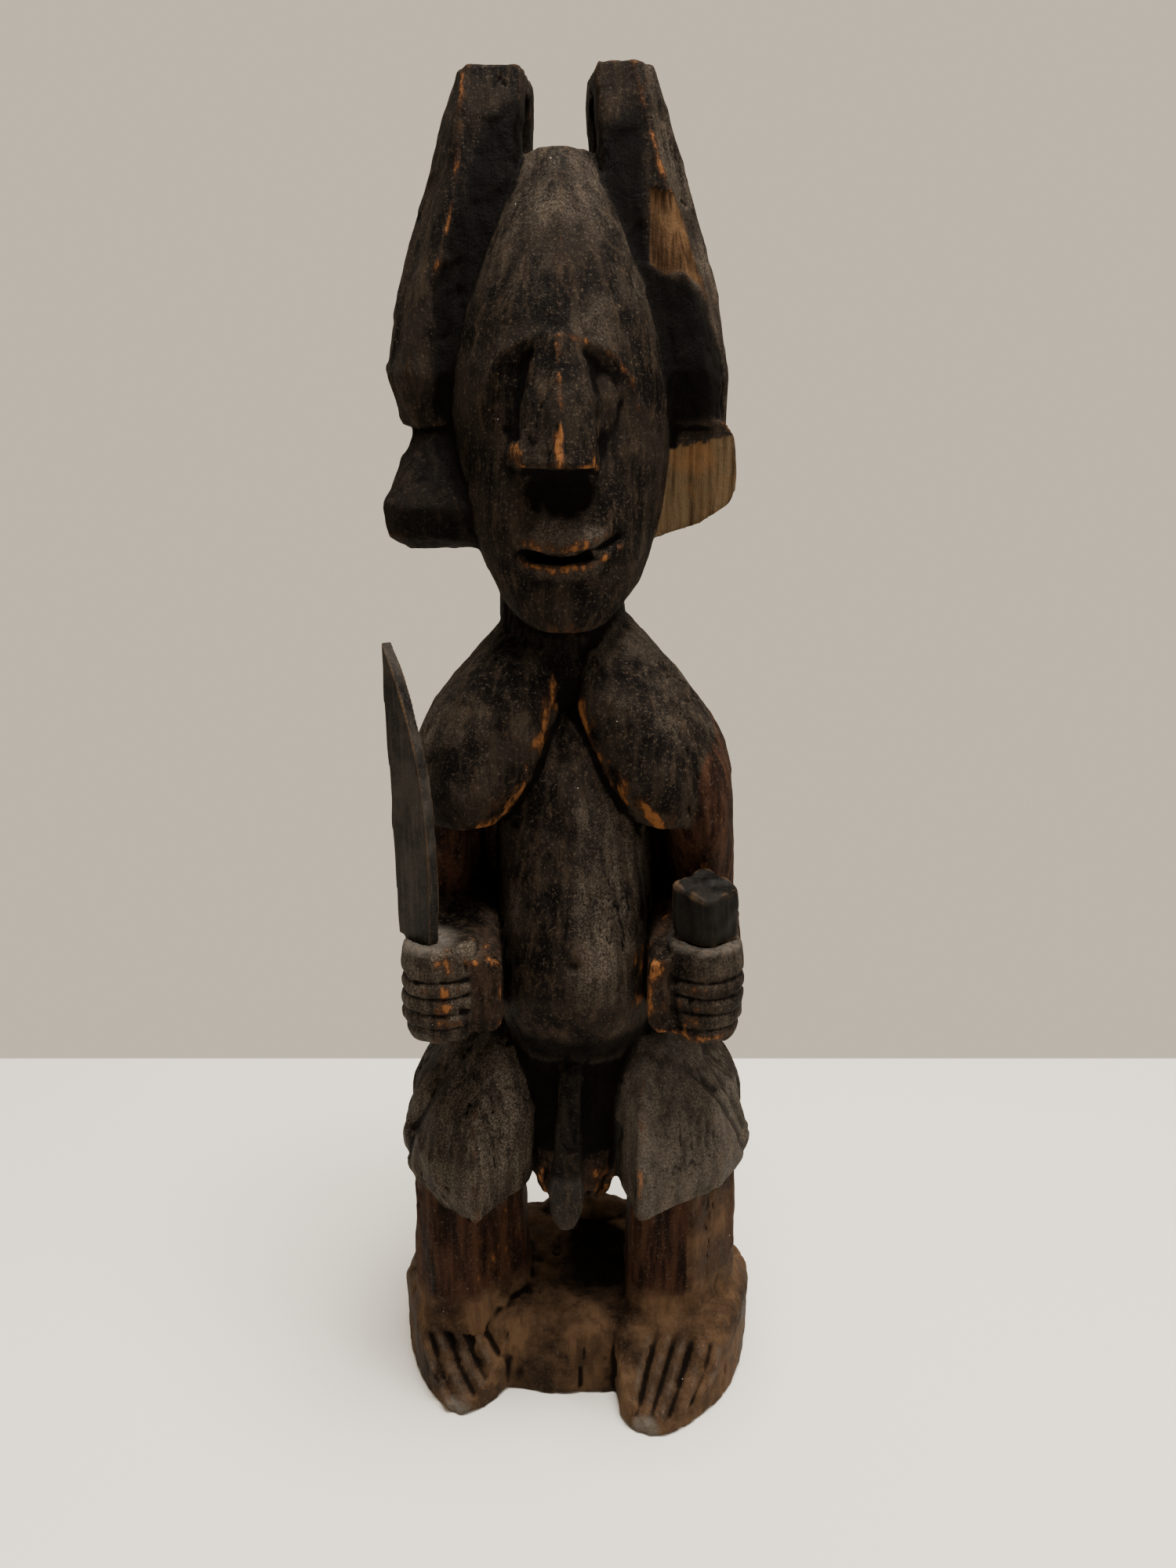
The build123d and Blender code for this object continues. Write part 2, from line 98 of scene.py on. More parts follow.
class Wood:
    """The skin's points, in millimetres, while it is being carved."""

    def __init__(self, piece):
        self.mesh = piece.data
        count = len(self.mesh.vertices)
        flat = np.empty(count * 3, np.float32)
        self.mesh.vertices.foreach_get("co", flat)
        self.points = flat.reshape(-1, 3).astype(float) / MM
        pairs = np.empty(len(self.mesh.edges) * 2, np.int32)
        self.mesh.edges.foreach_get("vertices", pairs)
        self.edges = pairs.reshape(-1, 2)
        self.degree = np.bincount(self.edges.ravel(), minlength=count)
        self.refresh()

    def refresh(self):
        """Writes the points back and reads the normals again."""
        self.mesh.vertices.foreach_set("co", (self.points * MM).astype(np.float32).ravel())
        self.mesh.update()
        flat = np.empty(len(self.points) * 3, np.float32)
        self.mesh.vertex_normals.foreach_get("vector", flat)
        self.normals = flat.reshape(-1, 3).astype(float)

    def averaged(self, values, rounds):
        """Values averaged with their neighbours', a number of times over."""
        first, second = self.edges.T
        result = values.astype(float)
        columns = result.reshape(len(result), -1).copy()
        for _ in range(rounds):
            total = np.empty_like(columns)
            for k in range(columns.shape[1]):
                column = columns[:, k]
                total[:, k] = np.bincount(first, column[second], len(column))
                total[:, k] += np.bincount(second, column[first], len(column))
            columns = 0.5 * columns + 0.5 * total / self.degree[:, None]
        return columns.reshape(result.shape)

    def smooth(self, rounds, share=1.0):
        """Relaxes the skin; share is how much of it, for all points or for each."""
        share = np.broadcast_to(share, len(self.points))[:, None]
        self.points += share * (self.averaged(self.points, rounds) - self.points)
        self.refresh()

    def push(self, amount):
        """Moves each point along its normal, outwards for positive amounts."""
        self.points += self.normals * amount[:, None]

    def distance(self, line):
        """Each point's distance from a line of points, seen from the front."""
        flat = self.points[:, FRONT]
        nearest = np.full(len(flat), 1e9)
        corners = np.array(line, float)
        for start, end in zip(corners[:-1], corners[1:]):
            run = end - start
            along = np.clip((flat - start) @ run / (run @ run), 0, 1)
            gap = flat - start - along[:, None] * run
            nearest = np.minimum(nearest, np.sqrt((gap**2).sum(1)))
        return nearest

    def inside(self, outline, soft):
        """1 inside a closed outline seen from the front, 0 outside, changing over a soft distance."""
        flat = self.points[:, FRONT]
        corners = np.array([*outline, outline[0]], float)
        within_it = np.zeros(len(flat), bool)
        for (x1, y1), (x2, y2) in zip(corners[:-1], corners[1:]):
            crosses = (y1 > flat[:, 1]) != (y2 > flat[:, 1])
            rise = y2 - y1 or 1e-9
            within_it ^= crosses & (flat[:, 0] < x1 + (flat[:, 1] - y1) * (x2 - x1) / rise)
        margin = self.distance(corners) * np.where(within_it, 1, -1)
        return np.clip(margin / soft + 0.5, 0, 1)

    def relief(self, rounds):
        """How far each point stands out from its neighbourhood; more rounds take in more of it."""
        return ((self.points - self.averaged(self.points, rounds)) * self.normals).sum(1)

    def facing(self, direction, limit=0.1):
        """1 where the skin faces a direction, fading to 0 where it turns away from it."""
        return np.clip((self.normals @ np.array(direction, float) - limit) / 0.25, 0, 1)


def rounded(distance, width):
    """1 on a line, falling smoothly to nothing about a width away."""
    return np.exp(-((distance / width) ** 2))


def within(values, low, high, soft):
    """1 between two limits, fading out over a soft distance at each."""
    rise = np.clip((values - low) / soft + 0.5, 0, 1)
    fall = np.clip((high - values) / soft + 0.5, 0, 1)
    return rise * fall


def ball(wood, centre, radii):
    """1 in the middle of an ellipsoid, 0 from its surface outwards."""
    reach = ((wood.points - np.array(centre)) / np.array(radii)) ** 2
    return np.clip(1 - reach.sum(1), 0, 1)


def cloud(points, scale, seed):
    """Smooth noise from -1 to 1 at each point; scale is its feature size, for all axes or for each."""
    place = points / np.array(scale, float)
    shift = Vector((seed, seed * 1.7, seed * 2.3))
    return np.array([noise.noise(Vector(p) + shift) for p in place])


# ------------------------------------------------------------------ the block of wood
block = merged_copy([node for node in frame["nodes"] if node not in HELD], "block")
fuse(block, SKIN_PITCH)
wood = Wood(block)

REGIONS = [node for node in sorted(frame["nodes"]) if node not in HELD]


def nearest_regions():
    """For each point of the skin, the number of the CAD node that it lies on."""
    verts, faces, owners = [], [], []
    for number, node in enumerate(REGIONS):
        mesh = frame["nodes"][node].data
        start = len(verts)
        verts += [v.co.copy() for v in mesh.vertices]
        faces += [[start + i for i in p.vertices] for p in mesh.polygons]
        owners += [number] * len(mesh.polygons)
    tree = BVHTree.FromPolygons(verts, faces)
    return np.array([owners[tree.find_nearest(Vector(p) * MM)[2]] for p in wood.points])


region_of = nearest_regions()
shares = np.zeros((len(region_of), len(REGIONS)), np.float32)
shares[np.arange(len(region_of)), region_of] = 1
shares = wood.averaged(shares, 6)


def share_of(*nodes):
    """How much each point belongs to some regions, from 0 to 1, soft at their borders."""
    return shares[:, [REGIONS.index(node) for node in nodes]].sum(1)


HEAD = ("head", "nose", "right_eye", "left_eye", "upper_lip", "lower_lip")
CREST = ("right_crest_lobe", "left_crest_lobe")
CHEST = ("right_chest_lobe", "left_chest_lobe")
UPPER_ARMS = ("right_upper_arm", "left_upper_arm")
FOREARMS = ("right_forearm", "left_forearm")
THIGHS = ("right_thigh", "left_thigh")
BUTTOCKS = ("right_buttock", "left_buttock")
SHINS = ("right_shin", "left_shin")
FEET = ("right_foot", "left_foot")

# ------------------------------------------------------------------ carving
# Lines and outlines are drawn as seen from the front, in x and z.
BROWS = (
    ((-6, 369), (-14.8, 368), (-21, 364), (-26, 357.5), (-27, 350.5)),
    ((-2.5, 369), (5.4, 367), (12.4, 363.3), (17.4, 357.5), (19.8, 350.5)),
)
EYE_HOLLOWS = (
    ((-11.5, 363.5), (-18, 360), (-22, 352), (-20.5, 344)),
    ((3, 363.5), (9.5, 360), (14, 352), (12.5, 343), (8, 338)),
)
FOREHEAD_RIDGE = ((-3.2, 416), (-3.5, 405), (-3.8, 390), (-4.2, 369))
NOSE_RIDGE = ((-4.2, 366), (-4.2, 355), (-3.8, 341), (-3.4, 333))
MOUTH = ((-16.5, 307.6), (-11, 306.2), (-3.7, 305.6), (3.6, 306.7), (10, 309.6), (13.5, 312))
UPPER_LIP = ((-14, 311.6), (-8, 309.9), (-3.7, 309.4), (3.5, 310.3), (10, 313))
LOWER_LIP = ((-14.5, 304), (-10, 302.8), (-3.7, 302.2), (4.5, 303.5), (11.5, 307), (14.5, 309.4))
CHEST_EDGES = (
    ((-3.2, 271), (-6.5, 260), (-9.8, 250), (-12.5, 240), (-17.5, 232.5), (-30, 218.5)),
    ((-2.6, 271), (-0.5, 262), (3, 253), (9.5, 238.5), (17, 229.5), (28, 221)),
)
HIP_GROOVES = (
    ((-33, 138), (-51, 119), (-59.5, 101), (-62.5, 88)),
    ((39, 130), (52.4, 116), (60.5, 99), (63, 89)),
    ((47.5, 127.4), (56.5, 114), (63.5, 96)),
)
THIGH_RIDGES = (
    ((-35.2, 132), (-34.4, 113), (-34.8, 79)),
    ((25, 132), (22.5, 113), (22, 80)),
)
FINGER_LEVELS = (157.2, 162.8, 168.4, 174)
TOE_GROOVES = (
    ((-54, 22), (-50, 13), (-44, 5)),
    ((-48.5, 25), (-43.5, 15), (-37.5, 7)),
    ((-43, 26), (-38.5, 18), (-33.5, 11)),
    ((-36, 26), (-31.5, 21), (-28, 16)),
    ((29, 26), (25, 16), (21.5, 6)),
    ((36, 26), (30.5, 14), (26, 6)),
    ((42, 25), (37.5, 15), (33.5, 7)),
    ((49, 24), (46, 15), (42, 8)),
)
TOE_RIDGES = (
    ((-57, 21), (-52, 12), (-46, 4)),
    ((-52.5, 24), (-46, 14), (-39.5, 6)),
    ((-46, 26), (-40.5, 16), (-34.5, 9)),
    ((-39.5, 26), (-34.5, 19), (-29.5, 14)),
    ((26, 26), (22.5, 16), (19.5, 7)),
    ((33, 26), (28, 15), (24, 5)),
    ((39, 26), (34, 14), (30, 6)),
    ((46, 25), (42, 15), (38, 7)),
    ((52, 23), (50, 15), (46, 9)),
)
CREST_EDGES = (
    ((-33.2, 446), (-33.8, 431.6), (-34.9, 421.8), (-38, 404), (-43, 388)),
    ((18, 449), (25.5, 421), (31, 411), (36, 399), (40, 386), (45, 371)),
)
# Outlines on the crest lobes darkened with soot and painted shade
SOOTED_AND_SHADED_CREST = (
    ((8, 432), (20, 436), (22.5, 392), (39, 385.5), (47, 364), (47, 348), (20, 345)),
    ((-10, 436), (-20, 440), (-32, 418), (-42, 388), (-44, 352), (-20, 345), (-14, 400)),
)
CREST_SCAR = ((23, 414), (31, 412.5), (36, 398), (40.2, 386.5), (33, 390.7), (28, 389.6), (23.3, 393))

# Shallow strokes are given as a line, its width and its depth; a negative depth stands proud.
FACE_STROKES = (
    (FOREHEAD_RIDGE, 4.5, -0.8),
    (FOREHEAD_RIDGE, 0.9, -0.5),
    (MOUTH, 1.25, 2.3),
    (UPPER_LIP, 2.2, -0.6),
    (LOWER_LIP, 1.7, -0.6),
)

# The left lug has split away, and the flat face that this left stays crisp.
split_face = within(wood.points[:, 1], -7, -5, 1) * within(wood.points[:, 2], 309, 352, 1)
split_face *= wood.points[:, 0] > 24
face = share_of("head", "right_eye", "left_eye", "upper_lip", "lower_lip")
face = face * wood.facing((0, -1, 0), 0.2)
crisp = share_of(*CREST, *SHINS, "nose")
feet = share_of(*FEET, "base")
wood.smooth(5, (1 - 0.85 * split_face) * (1 - 0.5 * crisp))
wood.smooth(10, face * within(wood.points[:, 2], 335, 372, 6))
wood.smooth(4, share_of("upper_lip", "lower_lip"))
wood.smooth(26, share_of("right_eye"))
wood.smooth(10, share_of("left_eye"))
feet_front = np.clip(feet * 2, 0, 1) * wood.facing((0, -0.7, 0.7), -0.3)
ankles = share_of(*FEET, *SHINS)
wood.smooth(14, within(wood.points[:, 2], 16, 40, 10) * feet_front)
wood.smooth(22, within(wood.points[:, 2], 24, 44, 6) * ankles * wood.facing((0, -0.9, 0.4), -0.4))
wood.push(-1.6 * share_of("right_eye") - 0.7 * share_of("left_eye"))
wood.refresh()
wood.smooth(16, ball(wood, (-3, -24, 268), (24, 22, 15)) ** 0.5 * wood.facing((0, -1, 0.3), -0.2))
left_shoulder = share_of("left_upper_arm", "left_chest_lobe")
wood.smooth(12, 0.8 * left_shoulder * within(wood.points[:, 2], 205, 255, 10))


def adze_facets(pitch, share, seed):
    """Flattens the skin into the small planes that an adze leaves, taller than they are wide."""
    picker = np.random.default_rng(seed)
    count = int(len(wood.points) * (SKIN_PITCH / pitch) ** 2)
    chosen = picker.choice(len(wood.points), count, replace=False)
    stretch = np.array([1, 1, 0.55])
    tree = kdtree.KDTree(count)
    for index, point in enumerate(wood.points[chosen] * stretch):
        tree.insert(point, index)
    tree.balance()
    own = chosen[[tree.find(p)[1] for p in wood.points * stretch]]
    heading = wood.averaged(wood.normals, 12)[own]
    heading /= np.linalg.norm(heading, axis=1)[:, None] + 1e-9
    anchor = wood.averaged(wood.points, 6)[own]
    drop = ((anchor - wood.points) * heading).sum(1)
    alike = np.clip(((wood.normals * heading).sum(1) - 0.6) / 0.3, 0, 1)
    amount = share * alike * np.clip(drop, -0.9, 0.9)
    wood.points += heading * amount[:, None]
    wood.refresh()


adze_facets(9, 0.75 * (1 - split_face) * (1 - 0.45 * face) * (1 - 0.9 * share_of("nose")), 5)
wood.smooth(2, 1 - split_face)
wood.push(0.35 * cloud(wood.points, (8, 8, 16), 3) * (1 - split_face))
wood.push(0.25 * cloud(wood.points, (3.2, 3.2, 5), 7) * (1 - split_face) * (1 - 0.4 * face))
wood.refresh()


def carve(line, width, depth, where):
    """Cuts a rounded groove along a line, or raises a ridge where the depth is negative."""
    wood.push(-depth * rounded(wood.distance(line), width) * where)


# The face
front = wood.facing((0, -1, 0.1))
head = share_of(*HEAD) * front
brow_side = head * (1 - share_of("nose"))
for hollow in EYE_HOLLOWS:
    carve(hollow, 3.4, 1.3, brow_side * (1 - share_of("right_eye", "left_eye")))
for brow in BROWS:
    carve(brow, 1.8, -0.7, brow_side)
carve(NOSE_RIDGE, 1.2, -0.6, share_of("nose") * front)
for line, width, depth in FACE_STROKES:
    carve(line, width, depth, head)
under_nose = ball(wood, (-4, -38, 324.5), (13, 11, 8)) * share_of("head", "upper_lip") * head
wood.push(-3.2 * under_nose)
right_nostril = ball(wood, (-18, -37, 336), (5, 8, 5))
wood.push(2.2 * right_nostril)
wood.refresh()

# Crest, chest, belly and hips
crest = share_of(*CREST) * front
for edge in CREST_EDGES:
    carve(edge, 1.2, -0.5, crest)
wood.push(-0.7 * wood.inside(CREST_SCAR, 1.2) * crest)
for edge in CHEST_EDGES:
    carve(edge, 2.4, 2.2, share_of("belly") * front)
navel = ball(wood, (-0.5, -45, 176), (3, 8, 3.4))
wood.push(-1.1 * navel)
for groove in HIP_GROOVES:
    carve(groove, 1.3, 1.5, share_of(*THIGHS, *BUTTOCKS))
for ridge in THIGH_RIDGES:
    carve(ridge, 1.8, -0.6, share_of(*THIGHS) * front)
wood.refresh()

# Fingers wrap round the front and the outer side of each fist; toes run down the front of each foot.
sway = 0.7 * cloud(wood.points, 9, 11)
for side, fist in ((-1, "right_fist"), (1, "left_fist")):
    outside = wood.facing((side * 0.75, -0.66, 0), -0.35) * share_of(fist)
    for level in FINGER_LEVELS:
        wood.push(-1.0 * rounded(wood.points[:, 2] + sway - level, 0.9) * outside)
    wood.refresh()
toes = np.clip(1.5 * feet, 0, 1) * wood.facing((0, -0.8, 0.6), 0.0)
for groove in TOE_GROOVES:
    carve(groove, 1.5, 1.2, toes)
for ridge in TOE_RIDGES:
    carve(ridge, 1.2, -1.0, toes)
wood.refresh()

# The crotch is left rough and ragged, and the base is hollowed between the shins.
loins = share_of("pelvis") * within(wood.points[:, 2], 60, 100, 14)
ragged = cloud(wood.points, (3.2, 9, 14), 41)
wood.push((1.8 * ragged - 0.6) * loins)
rags = np.clip(cloud(wood.points, (4, 8, 40), 43), -1, 1)
wood.points[:, 2] += (5 * rags - 3.5) * loins
base = share_of("base")
wood.points[:, 2] += 9 * ball(wood, (4, 38, 38), (24, 16, 14)) * base
wood.push(-5 * ball(wood, (6, 2, 30), (17, 24, 14)) * base)
base_top = base * wood.facing((0, -0.5, 0.8), -0.2)
wood.push(0.8 * cloud(wood.points, (6, 6, 10), 51) * base_top)
wood.refresh()

# Drying splits, and small chips along the sharp edges
wander = cloud(wood.points, (7, 7, 60), 61) + 0.35 * cloud(wood.points, (2.5, 2.5, 12), 63)
cracked_places = np.clip(3 * cloud(wood.points, (16, 16, 34), 67), 0, 1)
wood.push(-0.8 * rounded(wander, 0.035) * cracked_places * (1 - split_face) * (1 - face))
edges = np.clip(wood.relief(8) / 0.5, 0, 1)
chips = np.clip(3 * (cloud(wood.points, (3.5, 3.5, 5), 71) - 0.12), 0, 1)
wood.push(-0.9 * edges * chips * (1 - face))
wood.refresh()
wood.smooth(1, 0.7 * (1 - split_face))

# ------------------------------------------------------------------ colour masks
x, y, z = wood.points.T
front = wood.facing((0, -1, 0.1))
blotch = cloud(wood.points, 14, 21)
broken = np.clip(0.55 + 1.3 * cloud(wood.points, (3.5, 3.5, 6), 27), 0, 1)
narrow = wood.relief(14)
broad = wood.relief(60)
wear = np.clip(narrow / 0.5, 0, 1) * 0.5 + np.clip((broad - 0.4) / 1.2, 0, 1) * 0.35
# Soot and painted shade gather where the skin is concave
crease = np.clip(-narrow / 0.3, 0, 1) * 0.6 + np.clip((-broad - 0.15) / 0.9, 0, 1) * 0.8


def rub(line, width, strength, where):
    """Wear along a line, broken up into patches."""
    return strength * rounded(wood.distance(line), width) * where * broken


# Worn edges: a line, the width and strength of its wear, and the regions that it lies on
NOSTRIL_EDGES = ((-15, 332.5), (-3.5, 331.5), (7, 332.5))
WORN_EDGES = (
    (BROWS[0], 1.4, 0.2, HEAD),
    (BROWS[1], 1.8, 0.8, HEAD),
    (NOSE_RIDGE, 1.3, 0.85, HEAD),
    (((-4, 340), (-2.5, 333)), 3.2, 0.8, HEAD),
    (((-17.5, 338), (-17, 332)), 2.0, 1.0, HEAD),
    (((7, 336), (7, 332)), 1.4, 0.8, HEAD),
    (NOSTRIL_EDGES, 1.0, 0.5, HEAD),
    (UPPER_LIP, 2.2, 0.38, HEAD),
    (LOWER_LIP, 1.3, 0.42, HEAD),
    (((-6, 284.5), (0, 284.5)), 2.0, 0.7, HEAD),
    (((-47, 180), (-26, 180)), 2.5, 1.0, ("right_forearm", "right_fist")),
    (((22, 160), (30, 155.5), (50, 154)), 2.5, 0.9, ("left_forearm", "left_fist")),
)
# Worn patches: where one starts and ends across and upwards, its strength and its regions
WORN_PATCHES = (
    ((0, 20, 6), (343, 354, 3), 0.45, ("left_eye",)),
    ((32, 41, 4), (157, 178, 3), 0.8, ("left_fist",)),
    ((-46, -38, 4), (157, 180, 3), 0.6, ("right_fist",)),
    ((20, 80, 6), (180, 225, 8), 0.5, ("left_upper_arm", "left_forearm")),
)
# Pale places, in x, y and z: round the holes in the fists, and at the tips of two toes
FIST_RINGS = ((-50, -42, 184), (43, -41, 184))
PALE_TOES = ((-43.5, -46, 3), (24.5, -54.5, 3))

chest = share_of(*CHEST) * front
lobes = share_of(*CREST)
crest = lobes * front
for line, width, strength, nodes in WORN_EDGES:
    wear += rub(line, width, strength, share_of(*nodes) * front)
for edge in CHEST_EDGES:
    wear += rub(edge, 3.4, 1.1, chest) + 0.45 * rounded(wood.distance(edge), 3) * chest
for edge in CREST_EDGES:
    wear += rub(edge, 1.1, 0.7, crest)
for across, upwards, strength, nodes in WORN_PATCHES:
    wear += strength * within(x, *across) * within(z, *upwards) * share_of(*nodes) * front * broken
belly_side = within(x, 19, 29, 3) * within(z, 154, 180, 8) * share_of("belly", "left_forearm")
rag_ends = within(np.abs(x), 5, 22, 4) * within(z, 66, 96, 10) * share_of("pelvis") * front
inner_shin = within(z, 40, 100, 10) * share_of("right_shin") * wood.facing((0.8, -0.6, 0), 0.55)
elbow = within(z, 188, 238, 8) * share_of("right_upper_arm", "right_forearm")
wear += (0.9 * belly_side + 0.9 * rag_ends + 0.75 * inner_shin + 0.5 * elbow) * broken
wear *= 1 - 0.5 * feet
for ridge in TOE_RIDGES:
    wear += rub(ridge, 1.3, 0.4, toes)
wear *= 1 - 0.8 * share_of("loin_pendant")

# Soot and old dirt in the hollows, and painted shade under the nose, on the neck, under the belly, on
# the crest lobes and on the base
head = share_of(*HEAD) * front
crease *= (1 - 0.35 * feet) * (1 - 0.8 * within(z, 25, 46, 4) * np.clip(ankles, 0, 1))
crease *= 1 - 0.6 * share_of(*UPPER_ARMS, *FOREARMS)
# Painted shadow under the nose
crease += 0.9 * ball(wood, (-4, -40, 326), (16, 16, 9)) * head
# Painted shade on the neck and on the right ear lug
crease += 0.5 * share_of("neck", "right_ear_lug")
# Painted shade under the belly, on the tops of the pelvis and of the loin pendant; the front of the
# base a little darker
crease += 0.75 * share_of("pelvis") * wood.facing((0, -1, 0), 0.3) * (z > 98)
crease += 0.5 * share_of("loin_pendant") * (z > 94) + 0.2 * base * front
# Painted shadow of the figure on the base between the shins
crease += 1.2 * ball(wood, (9, 8, 32), (15, 22, 26)) * base
# A dark band across the bottom of the belly
crease += 0.6 * within(z, 135, 146, 5) * share_of("belly")
# Soot and painted shade on the fronts of the crest lobes
for shaded_outline in SOOTED_AND_SHADED_CREST:
    crease += (0.9 + 0.5 * blotch) * wood.inside(shaded_outline, 5) * lobes * (y < 8)

# Dust, with painted light on the right of the belly and on the crest's right-facing faces; red-brown
# wood, earth, bare wood and ash
upward = np.clip(wood.normals[:, 2] * 1.2 + 0.1, 0, 1)
dust = upward * 0.3 + 0.25 * np.clip((z - 365) / 40, 0, 1) * share_of("head") * front
dust += 0.5 * share_of("upper_lip", "lower_lip") * front
# Paler on the right of the belly: dust and painted light
dust += 0.6 * share_of("belly") * within(x, 0, 24, 9) * within(z, 150, 235, 20) * front
dust += (1.05 * share_of("left_thigh") + 0.95 * share_of("right_thigh")) * front
dust += (0.7 * share_of("right_fist") + 0.35 * share_of("left_fist")) * front
dust += 0.15 * share_of(*CHEST) + 0.45 * blotch
# Painted light on the crest faces that turn to the right
dust += 0.4 * crest * wood.facing((0.9, -0.3, 0.1), 0.5)
dust *= 1 - 0.8 * share_of("right_ear_lug", "left_ear_lug", "neck")
red = share_of(*SHINS, *UPPER_ARMS) + 0.5 * share_of(*FOREARMS, "pelvis", "back")
earth = np.clip(feet + within(z, -10, 40, 12) * 0.8 + 0.6 * share_of("left_shin") * (x > 40), 0, 1)
dust *= 1 - 0.7 * earth
bare = np.clip(split_face * (z < 339 + 0.25 * (x - 34) + 1.5 * cloud(wood.points, 2.5, 33)), 0, 1)
scar = wood.inside(CREST_SCAR, 0.8) * crest
ash = 0.12 * share_of("loin_pendant") * within(z, 0, 98, 3) + 0.25 * share_of("left_thigh") * front
for ridge in TOE_RIDGES:
    ash += rub(ridge, 1.1, 0.4, toes)
for ring in FIST_RINGS:
    ash += 1.2 * ball(wood, ring, (14, 14, 3))
for tip in PALE_TOES:
    ash += 1.3 * ball(wood, tip, (6, 5, 5))


def store(piece, name, values):
    """Keeps a mask on a piece's skin for its material to read."""
    layer = piece.data.attributes.new(name, "FLOAT", "POINT")
    layer.data.foreach_set("value", np.clip(values, 0, 1).astype(np.float32))


masks = {
    "wear": wear,
    "crease": crease,
    "dust": dust,
    "red": red,
    "earth": earth,
    "bare": bare,
    "scar": scar,
    "ash": ash,
}
for name, values in masks.items():
    store(block, name, values)

# ------------------------------------------------------------------ parting the block into its pieces


def close_cuts(piece):
    """Closes each open rim of a piece with a blunt cone of wood reaching inside it."""
    bm = bmesh.new()
    bm.from_mesh(piece.data)
    rims = {edge for edge in bm.edges if edge.is_boundary}
    for edge in rims:
        edge.smooth = False
    while rims:
        rim = set()
        search = [rims.pop()]
        while search:
            edge = search.pop()
            rim.add(edge)
            for vert in edge.verts:
                for other in vert.link_edges:
                    if other in rims:
                        rims.discard(other)
                        search.append(other)
        verts = {vert for edge in rim for vert in edge.verts}
        middle = sum((v.co for v in verts), Vector()) / len(verts)
        outwards = sum((v.normal for v in verts), Vector()) / len(verts)
        radius = sum((v.co - middle).length for v in verts) / len(verts)
        made = bmesh.ops.extrude_edge_only(bm, edges=list(rim))
        new_verts = [item for item in made["geom"] if isinstance(item, bmesh.types.BMVert)]
        bmesh.ops.pointmerge(bm, verts=new_verts, merge_co=middle - 0.5 * radius * outwards)
    bmesh.ops.recalc_face_normals(bm, faces=bm.faces)
    bm.to_mesh(piece.data)
    bm.free()


def part_into_regions():
    """Cuts the carved skin along the regions' borders; returns each region's piece by name."""
    corners = np.empty(len(block.data.loops), np.int32)
    block.data.loops.foreach_get("vertex_index", corners)
    strength = shares[corners.reshape(-1, 4)].sum(1)
    block.data.materials.clear()
    for node in REGIONS:
        block.data.materials.append(bpy.data.materials.new("region_" + node))
    block.data.polygons.foreach_set("material_index", strength.argmax(1).astype(np.int32))
    bpy.ops.object.select_all(action="DESELECT")
    bpy.context.view_layer.objects.active = block
    block.select_set(True)
    bpy.ops.object.mode_set(mode="EDIT")
    bpy.ops.mesh.select_all(action="SELECT")
    bpy.ops.mesh.separate(type="MATERIAL")
    bpy.ops.object.mode_set(mode="OBJECT")
    pieces = {}
    for piece in bpy.context.selected_objects:
        region = piece.data.materials[piece.data.polygons[0].material_index].name
        node = region.removeprefix("region_")
        piece.name = "carved_" + node
        pieces[node] = piece
    return pieces


# ------------------------------------------------------------------ materials


class Shading:
    """A short way to write a material's nodes."""

    def __init__(self, name):
        self.material = bpy.data.materials.new(name)
        self.material.use_nodes = True
        self.nodes = self.material.node_tree.nodes
        self.links = self.material.node_tree.links
        self.surface = self.nodes["Principled BSDF"]
        self.place = self.nodes.new("ShaderNodeTexCoord").outputs["Object"]

    def put(self, socket, value):
        """Sets a socket to a number or colour, or links it."""
        if isinstance(value, bpy.types.NodeSocket):
            self.links.new(value, socket)
        else:
            socket.default_value = value

    def mask(self, name):
        """A mask stored on the piece."""
        node = self.nodes.new("ShaderNodeAttribute")
        node.attribute_name = name
        return node.outputs["Fac"]

    def stretched(self, x, y, z):
        """Object coordinates, scaled along each axis."""
        node = self.nodes.new("ShaderNodeMapping")
        node.inputs["Scale"].default_value = (x, y, z)
        self.links.new(self.place, node.inputs["Vector"])
        return node.outputs["Vector"]

    def noise(self, scale, detail, roughness, place=None):
        """Fractal noise; scale counts features in a metre."""
        node = self.nodes.new("ShaderNodeTexNoise")
        self.put(node.inputs["Vector"], place or self.place)
        node.inputs["Scale"].default_value = scale
        node.inputs["Detail"].default_value = detail
        node.inputs["Roughness"].default_value = roughness
        return node.outputs["Fac"]

    def ramp(self, value, low, high, start=0.0, end=1.0):
        """Maps low..high to start..end, smoothly, and holds it there."""
        node = self.nodes.new("ShaderNodeMapRange")
        node.interpolation_type = "SMOOTHSTEP"
        self.put(node.inputs["Value"], value)
        for socket, number in zip(node.inputs[1:5], (low, high, start, end)):
            socket.default_value = number
        return node.outputs["Result"]

    def math(self, operation, first, second):
        """One sum on two values."""
        node = self.nodes.new("ShaderNodeMath")
        node.operation = operation
        self.put(node.inputs[0], first)
        self.put(node.inputs[1], second)
        return node.outputs["Value"]

    def blend(self, amount, under, over):
        """One colour laid over another by an amount."""
        node = self.nodes.new("ShaderNodeMix")
        node.data_type = "RGBA"
        self.put(node.inputs["Factor"], amount)
        self.put(node.inputs["A"], under)
        self.put(node.inputs["B"], over)
        return node.outputs["Result"]

    def bump(self, height, strength, depth, under=None):
        """Relief from a height of 0 to 1 that stands a depth in millimetres."""
        node = self.nodes.new("ShaderNodeBump")
        node.inputs["Strength"].default_value = strength
        node.inputs["Distance"].default_value = depth * MM
        self.put(node.inputs["Height"], height)
        if under is not None:
            self.put(node.inputs["Normal"], under)
        return node.outputs["Normal"]
